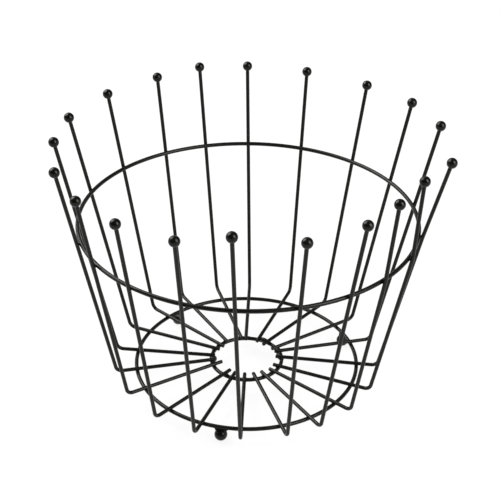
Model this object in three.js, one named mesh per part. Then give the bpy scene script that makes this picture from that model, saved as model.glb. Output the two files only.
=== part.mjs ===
// A round wire basket: twenty spokes, each bent once, are welded to a rim ring, a base ring and an
// inner ring. Every spoke ends in a ball, and three larger balls under the base ring are its feet.
// Millimetres, +Z up. The origin is on the axis of the rings, on the surface the basket stands on.
// Directions round the axis are in degrees from +Y, clockwise as seen from above.

import * as THREE from "three";

// Wire and fit
const SPOKE_WIRE_RADIUS = 1.5;
const RING_WIRE_RADIUS = 1.6;
const WELD_GAP = 0.2;
const SPOKE_TO_RING = SPOKE_WIRE_RADIUS + RING_WIRE_RADIUS + WELD_GAP;

// Rings, by the radius of the wire's centreline
const RIM_RING_RADIUS = 130;
const BASE_RING_RADIUS = 90.4;
const INNER_RING_RADIUS = 28.9;
const RIM_ABOVE_BASE = 133.9;

// Balls
const TIP_BALL_RADIUS = 4;
const FOOT_BALL_RADIUS = 5;
const FOOT_CENTRE_ABOVE_FLAT = 4.7;
const FOOT_DIRECTIONS = { foot_front: 192, foot_left: 318, foot_right: 65 };

// Spokes. The arm and the upright would meet at the corner, which the bend rounds off.
const SPOKE_COUNT = 20;
const CORNER_RADIUS = 107;
const BEND_RADIUS = 5.5;
const TIP_ABOVE_BASE = 196.6;

// The spokes were set in the jig by hand, so each strays a little from its even place. One value
// per spoke, from the back and clockwise: in degrees clockwise, or in millimetres where the name
// says so. Three uprights were also knocked out of straight above the rim ring, by spoke number.
const ARM_END_STRAY = [-2, 5, 5, 11, 3, 2, 11, 8, 7, 5, 3, 3, -3, 12, 5, -1, 2, -3, -4, 8];
const ARM_OVERSHOOT_MM = [6, 7, 8, 6, 5, 5, 4, 3, 4, 4, 4, 4, 5, 7, 3, 3, 5, 6, 3, 4];
const CORNER_STRAY = [1, 3, 4, 4, 4, 6, 6, 5, 4, 1, 2, 3, 4, 6, 5, 4, 4, 4, 3, 3];
const TIP_STRAY = [-1, 1, 5, 7, 8, 13, 10, 9, 4, 3, 4, 1, 1, 0, -4, 1, -1, 2, 4, 1];
const TIP_LIFT_MM = [2, 1, 1, 3, 4, 2, 3, 4, 1, -3, 4, -5, -5, -5, 1, -3, -1, -1, 0, 3];
const KNOCKED_OUT_MM = { 6: 2, 7: -9, 8: -5 };

// Facets
const WIRE_SIDES = 10;
const BEND_STEPS = 5;
const RING_SIDES = 8;
const RING_STEP_LENGTH = 8;
const INNER_RING_STEPS = 48;
const BALL_SIDES = 14;
const BALL_ARC_STEPS = 7;

// Heights that follow from the sizes above
const BASE_RING_HEIGHT = FOOT_CENTRE_ABOVE_FLAT + FOOT_BALL_RADIUS + WELD_GAP + RING_WIRE_RADIUS;
const ARM_HEIGHT = BASE_RING_HEIGHT + SPOKE_TO_RING;
const RIM_RING_HEIGHT = BASE_RING_HEIGHT + RIM_ABOVE_BASE;
const RIM_CONTACT_RADIUS = RIM_RING_RADIUS + SPOKE_TO_RING;

const wireCoat = new THREE.MeshStandardMaterial({ color: 0x262723, roughness: 0.45, metalness: 0.3 });
const ballCoat = new THREE.MeshStandardMaterial({ color: 0x1b1c19, roughness: 0.3, metalness: 0.3 });

const basket = new THREE.Group();

// A point by its distance from the axis, its direction and its height.
function around(radius, degrees, height) {
  const angle = THREE.MathUtils.degToRad(degrees);
  return new THREE.Vector3(radius * Math.sin(angle), radius * Math.cos(angle), height);
}

function addPiece(name, geometry, material) {
  const piece = new THREE.Mesh(geometry, material);
  piece.name = name;
  basket.add(piece);
  return piece;
}

// The centreline of a bent wire. It turns only at its stations, so the straight runs need no
// sections between their ends.
class BentWire extends THREE.Curve {
  constructor(stations) {
    super();
    this.stations = stations;
  }

  stationAt(u) {
    return Math.round(u * (this.stations.length - 1));
  }

  getPointAt(u, target = new THREE.Vector3()) {
    return target.copy(this.stations[this.stationAt(u)]);
  }

  // Halfway between the directions of the runs before and after the station.
  getTangentAt(u, target = new THREE.Vector3()) {
    const here = this.stationAt(u);
    const point = this.stations[here];
    const before = this.stations[here - 1];
    const after = this.stations[here + 1];
    target.set(0, 0, 0);
    if (before) target.add(point.clone().sub(before).normalize());
    if (after) target.add(after.clone().sub(point).normalize());
    return target.normalize();
  }
}

// The arc that rounds the corner between two straight runs, from its start to its end.
function bendArc(from, corner, to) {
  const back = from.clone().sub(corner).normalize();
  const ahead = to.clone().sub(corner).normalize();
  const turn = Math.PI - back.angleTo(ahead);
  const middle = back.clone().add(ahead).normalize();
  const centre = corner.clone().addScaledVector(middle, BEND_RADIUS / Math.cos(turn / 2));
  const start = corner.clone().addScaledVector(back, BEND_RADIUS * Math.tan(turn / 2));
  const axis = ahead.clone().cross(back).normalize();
  return Array.from({ length: BEND_STEPS + 1 }, (_, step) =>
    start.clone().sub(centre).applyAxisAngle(axis, (turn * step) / BEND_STEPS).add(centre),
  );
}

// How far out the tip of a straight upright comes. It passes the rim ring at its contact radius
// when it has covered the share of its height that rimShare gives.
function straightTipRadius(corner, tipDirection, rimShare) {
  const outward = around(1, tipDirection, 0);
  const fromCorner = new THREE.Vector3(corner.x, corner.y, 0).multiplyScalar(1 - rimShare);
  const along = fromCorner.dot(outward);
  const across = fromCorner.addScaledVector(outward, -along).length();
  return (Math.sqrt(RIM_CONTACT_RADIUS ** 2 - across ** 2) - along) / rimShare;
}

// The four points that a spoke runs through: arm end, corner, touch on the rim ring, ball centre.
function spokePoints(index) {
  const even = (360 / SPOKE_COUNT) * index;
  const armEndRadius = INNER_RING_RADIUS - ARM_OVERSHOOT_MM[index];
  const armEnd = around(armEndRadius, even + ARM_END_STRAY[index], ARM_HEIGHT);
  const corner = around(CORNER_RADIUS, even + CORNER_STRAY[index], ARM_HEIGHT);
  const tipDirection = even + TIP_STRAY[index];
  const tipHeight = BASE_RING_HEIGHT + TIP_ABOVE_BASE + TIP_LIFT_MM[index];
  const rimShare = (RIM_RING_HEIGHT - ARM_HEIGHT) / (tipHeight - ARM_HEIGHT);
  const tipRadius = straightTipRadius(corner, tipDirection, rimShare);
  const rim = corner.clone().lerp(around(tipRadius, tipDirection, tipHeight), rimShare);
  const knock = KNOCKED_OUT_MM[index + 1] ?? 0;
  const tip = around(tipRadius + knock, tipDirection, tipHeight);
  return { armEnd, corner, rim, tip };
}

// How far below the middle of a tip ball its flat seat is, which is as wide as the wire.
function tipSeatDepth() {
  return Math.sqrt(TIP_BALL_RADIUS ** 2 - SPOKE_WIRE_RADIUS ** 2);
}

function addSpoke(name, points) {
  const { armEnd, corner, rim, tip } = points;
  const downwards = rim.clone().sub(tip).normalize();
  const stations = [
    armEnd,
    ...bendArc(armEnd, corner, rim),
    rim,
    tip.clone().addScaledVector(downwards, tipSeatDepth() + WELD_GAP),
  ];
  const section = new THREE.Shape().absarc(0, 0, SPOKE_WIRE_RADIUS, 0, 2 * Math.PI);
  const geometry = new THREE.ExtrudeGeometry(section, {
    steps: stations.length - 1,
    curveSegments: WIRE_SIDES / 2,
    bevelEnabled: false,
    extrudePath: new BentWire(stations),
  });
  addPiece(name, geometry, wireCoat);
}

// A ball round the origin with its flat facing -Y, that far below its middle.
function ballWithFlat(radius, middleToFlat) {
  const flatAngle = -Math.asin(middleToFlat / radius);
  const profile = [new THREE.Vector2(0, -middleToFlat)];
  for (let step = 0; step < BALL_ARC_STEPS; step += 1) {
    const angle = flatAngle + ((Math.PI / 2 - flatAngle) * step) / BALL_ARC_STEPS;
    profile.push(new THREE.Vector2(radius * Math.cos(angle), radius * Math.sin(angle)));
  }
  profile.push(new THREE.Vector2(0, radius));
  return new THREE.LatheGeometry(profile, BALL_SIDES);
}

// A ball on the end of a spoke, with its flat on the wire.
function addTipBall(name, points) {
  const ball = addPiece(name, ballWithFlat(TIP_BALL_RADIUS, tipSeatDepth()), ballCoat);
  const upwards = points.tip.clone().sub(points.rim).normalize();
  ball.quaternion.setFromUnitVectors(new THREE.Vector3(0, 1, 0), upwards);
  ball.position.copy(points.tip);
}

// A ball under the base ring, standing on its flat.
function addFoot(name, direction) {
  const foot = addPiece(name, ballWithFlat(FOOT_BALL_RADIUS, FOOT_CENTRE_ABOVE_FLAT), ballCoat);
  foot.rotation.x = Math.PI / 2;
  foot.position.copy(around(BASE_RING_RADIUS, direction, FOOT_CENTRE_ABOVE_FLAT));
}

function addRing(name, radius, height, steps) {
  const geometry = new THREE.TorusGeometry(radius, RING_WIRE_RADIUS, RING_SIDES, steps);
  addPiece(name, geometry, wireCoat).position.z = height;
}

// A whole number of steps to each quarter, so that the ring is as wide as it should be.
function ringSteps(radius) {
  return 4 * Math.round((Math.PI * radius) / 2 / RING_STEP_LENGTH);
}

addRing("rim_ring", RIM_RING_RADIUS, RIM_RING_HEIGHT, ringSteps(RIM_RING_RADIUS));
addRing("base_ring", BASE_RING_RADIUS, BASE_RING_HEIGHT, ringSteps(BASE_RING_RADIUS));
addRing("inner_ring", INNER_RING_RADIUS, BASE_RING_HEIGHT, INNER_RING_STEPS);

for (let index = 0; index < SPOKE_COUNT; index += 1) {
  const number = String(index + 1).padStart(2, "0");
  const points = spokePoints(index);
  addSpoke(`spoke_${number}`, points);
  addTipBall(`tip_ball_${number}`, points);
}

for (const [name, direction] of Object.entries(FOOT_DIRECTIONS)) {
  addFoot(name, direction);
}

export default basket;
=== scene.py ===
"""The looks of a round wire fruit basket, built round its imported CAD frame.

Every wire, ring and ball is made again as a fine surface where its CAD node is, the welds are
added where the nodes meet, and everything gets a powder-coat material. Lengths are in metres.
"""

import math
import random

import bpy
import numpy as np
from mathutils import Matrix, Vector
from mathutils.geometry import intersect_line_line


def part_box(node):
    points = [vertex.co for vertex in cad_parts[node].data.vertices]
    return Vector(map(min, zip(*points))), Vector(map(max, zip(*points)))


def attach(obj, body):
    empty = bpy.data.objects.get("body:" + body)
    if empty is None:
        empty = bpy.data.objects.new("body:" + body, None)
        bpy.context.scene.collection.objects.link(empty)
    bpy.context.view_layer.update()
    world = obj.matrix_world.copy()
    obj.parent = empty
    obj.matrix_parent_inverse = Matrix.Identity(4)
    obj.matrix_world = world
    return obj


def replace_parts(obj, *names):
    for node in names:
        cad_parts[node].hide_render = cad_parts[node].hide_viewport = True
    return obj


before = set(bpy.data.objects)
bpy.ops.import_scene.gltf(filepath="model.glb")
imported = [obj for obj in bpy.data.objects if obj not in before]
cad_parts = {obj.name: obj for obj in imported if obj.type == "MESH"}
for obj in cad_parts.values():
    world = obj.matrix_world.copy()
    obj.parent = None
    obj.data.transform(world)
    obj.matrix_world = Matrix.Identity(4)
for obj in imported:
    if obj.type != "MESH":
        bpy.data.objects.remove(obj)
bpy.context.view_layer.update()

MM = 0.001
BODY = "root"
UP = Vector((0, 0, 1))
SEED = 20

# Fineness of the surfaces
WIRE_SIDES = 24
WIRE_STEP = 6 * MM
RING_STEP = 2.2 * MM
BEND_STEPS = 18
KNOCK_STEPS = 6
END_STEPS = 4
BALL_SIDES = 44
BALL_ARC_STEPS = 26
FILLET_STEPS = 6
WELD_SIDES = 28
WELD_STEPS = 7
LUMP_STEPS = 14

# How the frame is read: where a spoke's straight runs are cut to find their centrelines, as
# shares of their length, how thick a slice holds the arm, and how near its sphere a ball's corner
# is, as a share of the ball's radius
ARM_CUTS = (0.15, 0.8)
UPRIGHT_CUTS = (0.15, 0.95)
ARM_SLICE = 1 * MM
ON_SPHERE = 0.01
STRAIGHT_BELOW = math.radians(0.5)

# Small shapes that the CAD model leaves out
END_ROUNDING = 0.32 * MM
KNOCK_BEND_RADIUS = 22 * MM
COLLAR_FILLET = 0.9 * MM
COLLAR_TAIL = 0.3 * MM
COLLAR_POLE = 0.5 * MM
FLAT_MIDDLE = 0.6
FLAT_EDGE = 0.9
FLAT_EDGE_LIFT = 0.01 * MM
BUTT_WELD_SWELL = 0.1 * MM
BUTT_WELD_WIDTH = 1.1 * MM
BUTT_WELD_DIRECTIONS = {"rim_ring": 152, "base_ring": 27, "inner_ring": 205}
WELD_SINK = 0.05 * MM

# The welds where spokes cross each ring: how far they reach along the wires, how wide their waist
# is, and the smallest and largest size of one beside these
RING_WELDS = {
    "rim_ring": {"reach": 2.1 * MM, "waist": 1.0 * MM, "sizes": (0.88, 1.12)},
    "base_ring": {"reach": 2.1 * MM, "waist": 1.0 * MM, "sizes": (0.88, 1.12)},
    "inner_ring": {"reach": 3.4 * MM, "waist": 2.7 * MM, "sizes": (0.75, 1.15)},
}
WELD_ACROSS_WIRE = 0.82
WELD_RIPPLES = (0.06, 0.04)

# The weld on each foot, by its half-widths along and across the base ring: on the ball and at the
# waist in ball radii, and on the ring in ball radii along it and wire radii across it
FOOT_WELD_ON_BALL = (0.85, 0.66)
FOOT_WELD_WAIST = (1.04, 0.4)
FOOT_WELD_ON_RING = (1.2, 0.85)
FOOT_WELD_SIZES = (0.95, 1.05)

# Spokes whose welds on the inner ring have run together, by the lump's half-width and how far
# inside the ring its middle is
RUN_TOGETHER = {
    ("02", "03"): (2.0 * MM, 0.8 * MM),
    ("04", "05"): (2.7 * MM, 1.2 * MM),
    ("05", "06"): (2.6 * MM, 1.4 * MM),
    ("15", "16"): (3.0 * MM, 1.4 * MM),
}
LUMP_OVERLAP = 0.8 * MM
LUMP_HALF_HEIGHT = 2.3 * MM
LUMP_RIPPLE = 0.08

# The wear under the feet, by height above the surface that the basket stands on
WORN_BELOW = 0.08 * MM
COATED_ABOVE = 0.22 * MM
BARE_STEEL = (0.32, 0.31, 0.3)

# The coats: their darkest and lightest colour, their roughness and how strong the orange peel is.
# They are darker than a real black coat, to look as black as one in these white surroundings.
COATS = {
    "wire_coat": {
        "dark": (0.001, 0.0011, 0.0006),
        "light": (0.0045, 0.0047, 0.0034),
        "roughness": (0.3, 0.42),
        "peel": 0.14,
    },
    "ball_coat": {
        "dark": (0.001, 0.0011, 0.0006),
        "light": (0.0035, 0.0037, 0.0026),
        "roughness": (0.22, 0.34),
        "peel": 0.24,
    },
}
COAT_SPECULAR = 0.21
COAT_SPECULAR_TINT = (1, 1, 0.95, 1)
COLOUR_CLOUDS = 14 * MM
SHEEN_CLOUDS = 3 * MM
SHEEN_NOISE = (0.3, 0.7)
PEEL_GRAIN = 0.7 * MM
PEEL_DEPTH = 0.05 * MM

# The camera, which looks along +Y and down at the basket
CAMERA_DISTANCE = 0.7720
CAMERA_HEIGHT = 0.5752
CAMERA_PAN = math.radians(0.115)
CAMERA_TILT = math.radians(30.75)
CAMERA_ROLL = math.radians(0.84)
SENSOR_WIDTH = 36
LENS = 82.92
CAMERA_REACH = 50

# The studio: softboxes by their place, size in metres and power, a pale floor and a white world
SOFTBOXES = {
    "left_softbox": ((-1.17, 0.66, 1.34), (1.4, 1.4), 55),
    "right_softbox": ((1.26, -0.85, 1.09), (0.8, 1.4), 36),
    "back_softbox": ((0, 1.4, 1.28), (1.6, 1.0), 3.5),
}
SOFTBOX_AIM = Vector((0, 0, 0.1))
FLOOR_SIZE = 12
FLOOR_COLOUR = (0.07, 0.07, 0.07, 1)
FLOOR_ROUGHNESS = 0.9
FLOOR_SPECULAR = 0.1
FLOOR_GLOW = 0.87
WHITE = (1, 1, 1, 1)
WORLD_BRIGHTNESS = 0.95


# ---------------------------------------------------------------------------------------------
# Reading shapes from the frame


def corners(node):
    """Every corner of a CAD node once, as rows of x, y, z."""
    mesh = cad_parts[node].data
    points = np.empty(len(mesh.vertices) * 3)
    mesh.vertices.foreach_get("co", points)
    return np.unique(points.reshape(-1, 3).round(7), axis=0)


def wire_centre(node, point, normal):
    """Where the centreline of a CAD wire passes through a plane.

    The cut through a straight run is symmetric, so the middle of its outline is on the centreline.
    """
    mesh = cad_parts[node].data
    heights = [(vertex.co - point).dot(normal) for vertex in mesh.vertices]
    total, weight = Vector(), 0.0
    for face in mesh.polygons:
        crossings = []
        for first, second in face.edge_keys:
            low, high = heights[first], heights[second]
            if (low < 0) != (high < 0):
                start, end = mesh.vertices[first].co, mesh.vertices[second].co
                crossings.append(start.lerp(end, low / (low - high)))
        if len(crossings) == 2:
            length = (crossings[1] - crossings[0]).length
            total += (crossings[0] + crossings[1]) * length / 2
            weight += length
    return total / weight


def ring_of(node):
    """The radius and height of a CAD ring's centreline, and the radius of its wire."""
    low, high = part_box(node)
    wire = (high.z - low.z) / 2
    return {"radius": (high.x - low.x) / 2 - wire, "height": (high.z + low.z) / 2, "wire": wire}


def ball_of(node):
    """The centre and radius of a CAD ball, whose corners are on a sphere but for its flat's."""
    points = corners(node)
    for _ in range(2):
        system = np.column_stack([2 * points, np.ones(len(points))])
        answer = np.linalg.lstsq(system, (points**2).sum(axis=1), rcond=None)[0]
        centre = answer[:3]
        radius = math.sqrt(answer[3] + centre @ centre)
        off = np.abs(np.linalg.norm(points - centre, axis=1) - radius)
        points = points[off < ON_SPHERE * radius]
    return {"centre": Vector(centre), "radius": radius}


def spoke_of(node):
    """The corners of a spoke's centreline, the radius of its bend and the radius of its wire."""
    low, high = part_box(node)
    points = corners(node)
    from_axis = np.hypot(points[:, 0], points[:, 1])
    inner_end = Vector(points[from_axis.argmin()])
    arm_points = points[points[:, 2] < low.z + ARM_SLICE]
    outer_end = Vector(arm_points[np.hypot(arm_points[:, 0], arm_points[:, 1]).argmax()])
    outwards = (outer_end - inner_end).normalized()

    def arm_at(share):
        return wire_centre(node, inner_end.lerp(outer_end, share), outwards)

    def upright_at(height):
        return wire_centre(node, UP * height, UP)

    rim_height = ring_of("rim_ring")["height"]
    arm_start, arm_end = (arm_at(share) for share in ARM_CUTS)
    foot, under_rim = (upright_at(low.z + share * (rim_height - low.z)) for share in UPRIGHT_CUTS)
    corner = sum(intersect_line_line(arm_start, arm_end, foot, under_rim), Vector()) / 2
    rim = foot.lerp(under_rim, (rim_height - foot.z) / (under_rim.z - foot.z))

    along_arm = (arm_end - arm_start).normalized()
    first = min((Vector(point) - arm_start).dot(along_arm) for point in points)
    upwards = (rim - corner).normalized()
    half_turn = along_arm.angle(upwards) / 2
    bend_middle = wire_centre(node, corner, (along_arm + upwards).normalized())
    bend_depth = (bend_middle - corner).length
    return {
        "cut_end": arm_start + along_arm * first,
        "corner": corner,
        "rim": rim,
        "bend_radius": bend_depth / (1 / math.cos(half_turn) - 1),
        "wire": arm_start.z - low.z,
    }


# ---------------------------------------------------------------------------------------------
# Making surfaces


def add_piece(name, vertices, faces, material):
    """A smooth closed mesh that rides on the basket's only body."""
    mesh = bpy.data.meshes.new(name)
    mesh.from_pydata([tuple(vertex) for vertex in vertices], [], faces)
    mesh.validate()
    mesh.shade_smooth()
    mesh.materials.append(material)
    piece = bpy.data.objects.new(name, mesh)
    bpy.context.scene.collection.objects.link(piece)
    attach(piece, BODY)
    return piece


def grid_faces(rows, sides, closed=False):
    """The faces between rows of vertices that each go once round, capped unless the rows close."""
    faces = []
    for row in range(rows if closed else rows - 1):
        here, there = row * sides, (row + 1) % rows * sides
        for side in range(sides):
            after = (side + 1) % sides
            faces.append((here + side, here + after, there + after, there + side))
    if not closed:
        faces.append(tuple(reversed(range(sides))))
        faces.append(tuple(range((rows - 1) * sides, rows * sides)))
    return faces


def sweep(name, path, radii, material, closed=False):
    """A round wire along a path, with its own radius at each point."""
    count = len(path)
    vertices = []
    side_way = None
    for index, point in enumerate(path):
        before = path[index - 1] if index or closed else point
        after = path[(index + 1) % count] if index + 1 < count or closed else point
        ahead = (after - before).normalized()
        if side_way is None:
            side_way = ahead.orthogonal()
        side_way = (side_way - ahead * side_way.dot(ahead)).normalized()
        third_way = ahead.cross(side_way)
        for side in range(WIRE_SIDES):
            angle = 2 * math.pi * side / WIRE_SIDES
            out = side_way * math.cos(angle) + third_way * math.sin(angle)
            vertices.append(point + out * radii[index])
    return add_piece(name, vertices, grid_faces(count, WIRE_SIDES, closed), material)


def turned(name, profile, centre, axis, material):
    """A turned body: a profile of (distance from the axis, height along it), from pole to pole."""
    side_way = axis.orthogonal().normalized()
    third_way = axis.cross(side_way)
    vertices = []
    for radius, height in profile[1:-1]:
        for side in range(BALL_SIDES):
            angle = 2 * math.pi * side / BALL_SIDES
            out = side_way * math.cos(angle) + third_way * math.sin(angle)
            vertices.append(centre + axis * height + out * radius)
    rows = len(profile) - 2
    faces = grid_faces(rows, BALL_SIDES)[:-2]
    low_pole, high_pole = len(vertices), len(vertices) + 1
    vertices.append(centre + axis * profile[0][1])
    vertices.append(centre + axis * profile[-1][1])
    last_row = (rows - 1) * BALL_SIDES
    for side in range(BALL_SIDES):
        after = (side + 1) % BALL_SIDES
        faces.append((low_pole, after, side))
        faces.append((high_pole, last_row + side, last_row + after))
    return add_piece(name, vertices, faces, material)


def bend_arc(start, corner, end, radius, steps):
    """The points of the arc that rounds a corner, or the corner itself where nothing turns."""
    back = (start - corner).normalized()
    ahead = (end - corner).normalized()
    turn = math.pi - back.angle(ahead)
    if turn < STRAIGHT_BELOW:
        return [corner]
    centre = corner + (back + ahead).normalized() * radius / math.cos(turn / 2)
    first = corner + back * radius * math.tan(turn / 2) - centre
    axis = ahead.cross(back).normalized()
    return [
        centre + Matrix.Rotation(turn * step / steps, 3, axis) @ first for step in range(steps + 1)
    ]


def divided(path):
    """The same path with its long straight runs cut into short ones."""
    points = [path[0]]
    for start, end in zip(path, path[1:]):
        pieces = max(1, round((end - start).length / WIRE_STEP))
        points += [start.lerp(end, (piece + 1) / pieces) for piece in range(pieces)]
    return points


def make_ring(node, ring, material):
    """A ring of round wire. Its ends are butt welded, which leaves a slight swelling."""
    radius, wire = ring["radius"], ring["wire"]
    butt_weld = math.radians(BUTT_WELD_DIRECTIONS[node])
    steps = round(2 * math.pi * radius / RING_STEP)
    path, radii = [], []
    for step in range(steps):
        angle = 2 * math.pi * step / steps
        path.append(Vector((radius * math.sin(angle), radius * math.cos(angle), ring["height"])))
        away = math.remainder(angle - butt_weld, 2 * math.pi) * radius
        radii.append(wire + BUTT_WELD_SWELL * math.exp(-((away / BUTT_WELD_WIDTH) ** 2)))
    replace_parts(sweep(f"{node}_wire", path, radii, material, closed=True), node)


def make_spoke(node, spoke, ball, material):
    """A bent wire from its cut end inside the inner ring to the middle of its ball."""
    cut_end, corner, rim, wire = spoke["cut_end"], spoke["corner"], spoke["rim"], spoke["wire"]
    inwards = (corner - cut_end).normalized()
    path, radii = [], []
    for step in range(END_STEPS):
        angle = math.pi / 2 * step / END_STEPS
        path.append(cut_end + inwards * END_ROUNDING * (1 - math.cos(angle)))
        radii.append(wire - END_ROUNDING * (1 - math.sin(angle)))
    bend = bend_arc(cut_end, corner, rim, spoke["bend_radius"], BEND_STEPS)
    knock = bend_arc(corner, rim, ball["centre"], KNOCK_BEND_RADIUS, KNOCK_STEPS)
    run = divided([cut_end + inwards * END_ROUNDING, *bend, *knock, ball["centre"]])
    radii += [wire] * len(run)
    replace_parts(sweep(f"{node}_wire", path + run, radii, material), node)


def make_tip_ball(node, spoke, ball, material):
    """A ball with the small concave collar of its weld to the wire."""
    wire, radius = spoke["wire"], ball["radius"]
    axis = (ball["centre"] - spoke["rim"]).normalized()
    fillet_out = wire + COLLAR_FILLET
    fillet_down = -math.sqrt((radius + COLLAR_FILLET) ** 2 - fillet_out**2)
    touch_angle = math.atan2(fillet_down, fillet_out)
    profile = [(0, fillet_down - COLLAR_POLE), (wire - WELD_SINK, fillet_down - COLLAR_TAIL)]
    for step in range(FILLET_STEPS + 1):
        angle = math.pi + touch_angle * step / FILLET_STEPS
        out = fillet_out + COLLAR_FILLET * math.cos(angle)
        profile.append((out, fillet_down + COLLAR_FILLET * math.sin(angle)))
    for step in range(1, BALL_ARC_STEPS):
        angle = touch_angle + (math.pi / 2 - touch_angle) * step / BALL_ARC_STEPS
        profile.append((radius * math.cos(angle), radius * math.sin(angle)))
    profile.append((0, radius))
    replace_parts(turned(f"{node}_ball", profile, ball["centre"], axis, material), node)


def make_foot(node, ball, material):
    """A larger ball that stands on a small flat, with the edge of the flat worn round."""
    centre, radius = ball["centre"], ball["radius"]
    flat = centre.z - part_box(node)[0].z
    flat_angle = -math.asin(flat / radius)
    flat_edge = radius * math.cos(flat_angle)
    profile = [(0, -flat), (FLAT_MIDDLE * flat_edge, -flat)]
    profile.append((FLAT_EDGE * flat_edge, -flat + FLAT_EDGE_LIFT))
    for step in range(BALL_ARC_STEPS):
        angle = flat_angle + (math.pi / 2 - flat_angle) * (step + 0.5) / BALL_ARC_STEPS
        profile.append((radius * math.cos(angle), radius * math.sin(angle)))
    profile.append((0, radius))
    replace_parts(turned(f"{node}_ball", profile, centre, UP, material), node)


# ---------------------------------------------------------------------------------------------
# Welds


def make_weld(name, base, normal, sections, size, chance, material):
    """A fillet of metal along a normal, between two bodies that nearly touch.

    It passes three sections: on the lower body, at the waist and on the upper body. A section is
    two half-axes and the height that its outline has at any offset from the base.
    """
    phases = chance.uniform(0, 2 * math.pi), chance.uniform(0, 2 * math.pi)
    vertices = []
    for step in range(WELD_STEPS + 1):
        share = step / WELD_STEPS
        weights = (1 - share) ** 2, 2 * share * (1 - share), share**2
        for side in range(WELD_SIDES):
            angle = 2 * math.pi * side / WELD_SIDES
            ripple = WELD_RIPPLES[0] * math.sin(2 * angle + phases[0])
            ripple += WELD_RIPPLES[1] * math.sin(3 * angle + phases[1])
            point = base.copy()
            for weight, (first, second, height) in zip(weights, sections):
                offset = (first * math.cos(angle) + second * math.sin(angle)) * size * (1 + ripple)
                point += (offset + normal * height(offset)) * weight
            vertices.append(point)
    faces = grid_faces(WELD_STEPS + 1, WELD_SIDES)
    return add_piece(name, vertices, faces, material)


def wire_surface(along, normal, wire):
    """The height of a wire's surface over its own centreline, at an offset from that line."""
    across = normal.cross(along)
    return lambda offset: math.sqrt(max(wire**2 - offset.dot(across) ** 2, 0))


def weld_crossing(name, ring, crossing, run, spoke_wire, chance, material):
    """The weld between a ring, below, and a run of a spoke that crosses it, above."""
    ring_wire, reach, waist = ring["wire"], ring["reach"], ring["waist"]
    direction = Vector((crossing.x, crossing.y, 0)).normalized()
    tangent = UP.cross(direction)
    on_ring = direction * ring["radius"] + UP * ring["height"]
    base, top = intersect_line_line(on_ring, on_ring + tangent, *run)
    along = (run[1] - run[0]).normalized()
    normal = (top - base).normalized()
    apart = (top - base).length
    ring_surface = wire_surface(tangent, normal, ring_wire)
    spoke_surface = wire_surface(along, normal, spoke_wire)
    ring_side = normal.cross(tangent)
    spoke_side = normal.cross(along)
    if spoke_side.dot(tangent) * ring_side.dot(along) > 0:
        along = -along
    if spoke_side.dot(tangent) < 0:
        spoke_side, along = -spoke_side, -along
    waist_height = (ring_wire + apart - spoke_wire) / 2
    sections = (
        (
            tangent * reach,
            ring_side * WELD_ACROSS_WIRE * ring_wire,
            lambda o: ring_surface(o) - WELD_SINK,
        ),
        (tangent * waist, ring_side * waist, lambda o: waist_height),
        (
            spoke_side * WELD_ACROSS_WIRE * spoke_wire,
            along * reach,
            lambda o: apart - spoke_surface(o) + WELD_SINK,
        ),
    )
    make_weld(name, base, normal, sections, chance.uniform(*ring["sizes"]), chance, material)


def weld_run_together(name, ring, first, second, half_width, inside, chance, material):
    """The lump where the welds of two neighbouring spokes on a ring have run together."""
    middle = (first + second) / 2
    outwards = Vector((middle.x, middle.y, 0)).normalized()
    centre = outwards * (ring["radius"] - inside) + UP * (ring["height"] + ring["wire"])
    half_length = UP.cross(outwards) * ((first - second).length / 2 + LUMP_OVERLAP)
    phase = chance.uniform(0, 2 * math.pi)
    vertices = []
    for step in range(LUMP_STEPS + 1):
        rise = math.pi * ((step + 0.5) / (LUMP_STEPS + 1) - 0.5)
        for side in range(WELD_SIDES):
            angle = 2 * math.pi * side / WELD_SIDES
            ripple = 1 + LUMP_RIPPLE * math.sin(3 * angle + phase + 2 * rise)
            offset = half_length * math.cos(angle) + outwards * half_width * math.sin(angle)
            level = offset * math.cos(rise) * ripple
            vertices.append(centre + level + UP * LUMP_HALF_HEIGHT * math.sin(rise))
    add_piece(name, vertices, grid_faces(LUMP_STEPS + 1, WELD_SIDES), material)


def weld_foot(name, ball, ring, chance, material):
    """The heavy weld between a foot ball and the base ring above it."""
    ball_radius, ring_wire = ball["radius"], ring["wire"]
    direction = Vector((ball["centre"].x, ball["centre"].y, 0)).normalized()
    tangent = UP.cross(direction)
    apart = ring["height"] - ball["centre"].z
    ring_surface = wire_surface(tangent, UP, ring_wire)
    sections = (
        (
            tangent * FOOT_WELD_ON_BALL[0] * ball_radius,
            direction * FOOT_WELD_ON_BALL[1] * ball_radius,
            lambda o: math.sqrt(max(ball_radius**2 - o.length_squared, 0)) - WELD_SINK,
        ),
        (
            tangent * FOOT_WELD_WAIST[0] * ball_radius,
            direction * FOOT_WELD_WAIST[1] * ball_radius,
            lambda o: ball_radius,
        ),
        (
            tangent * FOOT_WELD_ON_RING[0] * ball_radius,
            direction * FOOT_WELD_ON_RING[1] * ring_wire,
            lambda o: apart - ring_surface(o) + WELD_SINK,
        ),
    )
    size = chance.uniform(*FOOT_WELD_SIZES)
    make_weld(name, ball["centre"], UP, sections, size, chance, material)


# ---------------------------------------------------------------------------------------------
# Materials


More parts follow.
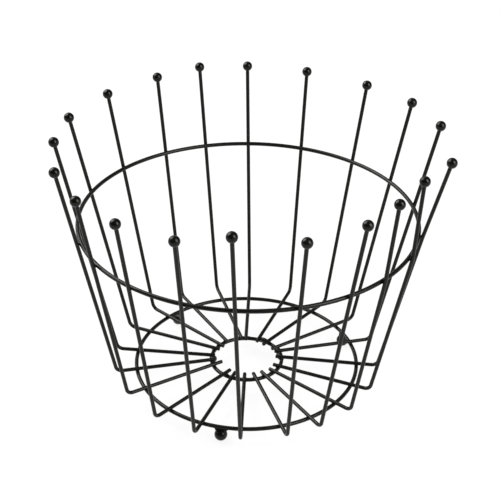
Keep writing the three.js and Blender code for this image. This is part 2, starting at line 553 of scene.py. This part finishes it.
def powder_coat(name):
    """Near-black powder coat on steel: a fine orange peel, and a sheen that varies slowly.

    It is worn through to bare steel just above the surface that the basket stands on.
    """
    coating = COATS[name]
    material = bpy.data.materials.new(name)
    material.use_nodes = True
    nodes, links = material.node_tree.nodes, material.node_tree.links
    shader = nodes["Principled BSDF"]
    place = nodes.new("ShaderNodeTexCoord").outputs["Object"]

    def noise(size, detail):
        texture = nodes.new("ShaderNodeTexNoise")
        texture.inputs["Scale"].default_value = 1 / size
        texture.inputs["Detail"].default_value = detail
        links.new(place, texture.inputs["Vector"])
        return texture.outputs["Fac"]

    def mix(factor, first, second):
        blend = nodes.new("ShaderNodeMix")
        blend.data_type = "RGBA"
        links.new(factor, blend.inputs["Factor"])
        for socket, colour in (("A", first), ("B", second)):
            if isinstance(colour, tuple):
                blend.inputs[socket].default_value = (*colour, 1)
            else:
                links.new(colour, blend.inputs[socket])
        return blend.outputs["Result"]

    height = nodes.new("ShaderNodeSeparateXYZ")
    links.new(place, height.inputs["Vector"])
    worn = nodes.new("ShaderNodeMapRange")
    worn.inputs["From Min"].default_value = WORN_BELOW
    worn.inputs["From Max"].default_value = COATED_ABOVE
    worn.inputs["To Min"].default_value = 1
    worn.inputs["To Max"].default_value = 0
    links.new(height.outputs["Z"], worn.inputs["Value"])
    links.new(worn.outputs["Result"], shader.inputs["Metallic"])
    coat = mix(noise(COLOUR_CLOUDS, 3), coating["dark"], coating["light"])
    links.new(mix(worn.outputs["Result"], coat, BARE_STEEL), shader.inputs["Base Color"])

    shader.inputs["Specular IOR Level"].default_value = COAT_SPECULAR
    shader.inputs["Specular Tint"].default_value = COAT_SPECULAR_TINT
    sheen = nodes.new("ShaderNodeMapRange")
    sheen.inputs["From Min"].default_value, sheen.inputs["From Max"].default_value = SHEEN_NOISE
    sheen.inputs["To Min"].default_value = coating["roughness"][0]
    sheen.inputs["To Max"].default_value = coating["roughness"][1]
    links.new(noise(SHEEN_CLOUDS, 2), sheen.inputs["Value"])
    links.new(sheen.outputs["Result"], shader.inputs["Roughness"])

    bump = nodes.new("ShaderNodeBump")
    bump.inputs["Strength"].default_value = coating["peel"]
    bump.inputs["Distance"].default_value = PEEL_DEPTH
    links.new(noise(PEEL_GRAIN, 2), bump.inputs["Height"])
    links.new(bump.outputs["Normal"], shader.inputs["Normal"])
    return material


def floor_material():
    material = bpy.data.materials.new("studio_floor")
    material.use_nodes = True
    shader = material.node_tree.nodes["Principled BSDF"]
    shader.inputs["Base Color"].default_value = FLOOR_COLOUR
    shader.inputs["Roughness"].default_value = FLOOR_ROUGHNESS
    shader.inputs["Specular IOR Level"].default_value = FLOOR_SPECULAR
    shader.inputs["Emission Color"].default_value = WHITE
    shader.inputs["Emission Strength"].default_value = FLOOR_GLOW
    return material


# ---------------------------------------------------------------------------------------------
# Camera, lights and floor


def add_camera():
    camera = bpy.data.objects.new("camera", bpy.data.cameras.new("camera"))
    camera.data.sensor_width = SENSOR_WIDTH
    camera.data.lens = LENS
    camera.data.clip_end = CAMERA_REACH
    turn = Matrix.Rotation(-CAMERA_PAN, 4, "Z")
    turn = turn @ Matrix.Rotation(math.pi / 2 - CAMERA_TILT, 4, "X")
    turn = turn @ Matrix.Rotation(CAMERA_ROLL, 4, "Z")
    camera.matrix_world = Matrix.Translation((0, -CAMERA_DISTANCE, CAMERA_HEIGHT)) @ turn
    bpy.context.scene.collection.objects.link(camera)
    bpy.context.scene.camera = camera


def add_softbox(name, position, size, power):
    """A rectangular area light aimed at the middle of the basket."""
    light = bpy.data.lights.new(name, "AREA")
    light.shape = "RECTANGLE"
    light.size, light.size_y = size
    light.energy = power
    softbox = bpy.data.objects.new(name, light)
    softbox.location = position
    aim = SOFTBOX_AIM - softbox.location
    softbox.rotation_euler = aim.to_track_quat("-Z", "Y").to_euler()
    bpy.context.scene.collection.objects.link(softbox)


def add_studio():
    scene = bpy.context.scene
    scene.view_settings.view_transform = "Standard"
    world = bpy.data.worlds.new("studio")
    world.use_nodes = True
    background = world.node_tree.nodes["Background"]
    background.inputs["Color"].default_value = WHITE
    background.inputs["Strength"].default_value = WORLD_BRIGHTNESS
    world.cycles_visibility.glossy = False
    scene.world = world
    for name, softbox in SOFTBOXES.items():
        add_softbox(name, *softbox)

    bpy.ops.mesh.primitive_plane_add(size=FLOOR_SIZE)
    floor = bpy.context.object
    floor.name = "floor"
    floor.data.materials.append(floor_material())


# ---------------------------------------------------------------------------------------------
# The basket


def crossing_point(start, end, radius):
    """Where a level run from the inside outwards is at a distance from the basket's axis."""
    along = (end - start).normalized()
    flat_start = Vector((start.x, start.y, 0))
    nearest = -flat_start.dot(along)
    off_axis = (flat_start + along * nearest).length
    return start + along * (nearest + math.sqrt(radius**2 - off_axis**2))


def make_basket():
    wire_coat = powder_coat("wire_coat")
    ball_coat = powder_coat("ball_coat")
    chance = random.Random(SEED)
    rings = {node: ring_of(node) | welds for node, welds in RING_WELDS.items()}
    for node, ring in rings.items():
        make_ring(node, ring, wire_coat)

    hub_crossings = {}
    for node in sorted(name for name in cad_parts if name.startswith("spoke_")):
        number = node.removeprefix("spoke_")
        spoke = spoke_of(node)
        ball = ball_of(f"tip_ball_{number}")
        make_spoke(node, spoke, ball, wire_coat)
        make_tip_ball(f"tip_ball_{number}", spoke, ball, ball_coat)
        arm = spoke["cut_end"], spoke["corner"]
        upright = spoke["corner"], spoke["rim"]
        for ring, run, crossing in (
            ("rim_ring", upright, spoke["rim"]),
            ("base_ring", arm, crossing_point(*arm, rings["base_ring"]["radius"])),
            ("inner_ring", arm, crossing_point(*arm, rings["inner_ring"]["radius"])),
        ):
            name = f"{ring}_weld_{number}"
            weld_crossing(name, rings[ring], crossing, run, spoke["wire"], chance, wire_coat)
        hub_crossings[number] = crossing

    for (first, second), (half_width, inside) in RUN_TOGETHER.items():
        name = f"inner_ring_weld_{first}_{second}"
        ends = hub_crossings[first], hub_crossings[second]
        weld_run_together(name, rings["inner_ring"], *ends, half_width, inside, chance, wire_coat)

    for node in sorted(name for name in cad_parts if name.startswith("foot_")):
        ball = ball_of(node)
        make_foot(node, ball, ball_coat)
        weld_foot(f"{node}_weld", ball, rings["base_ring"], chance, ball_coat)


add_camera()
make_basket()
add_studio()
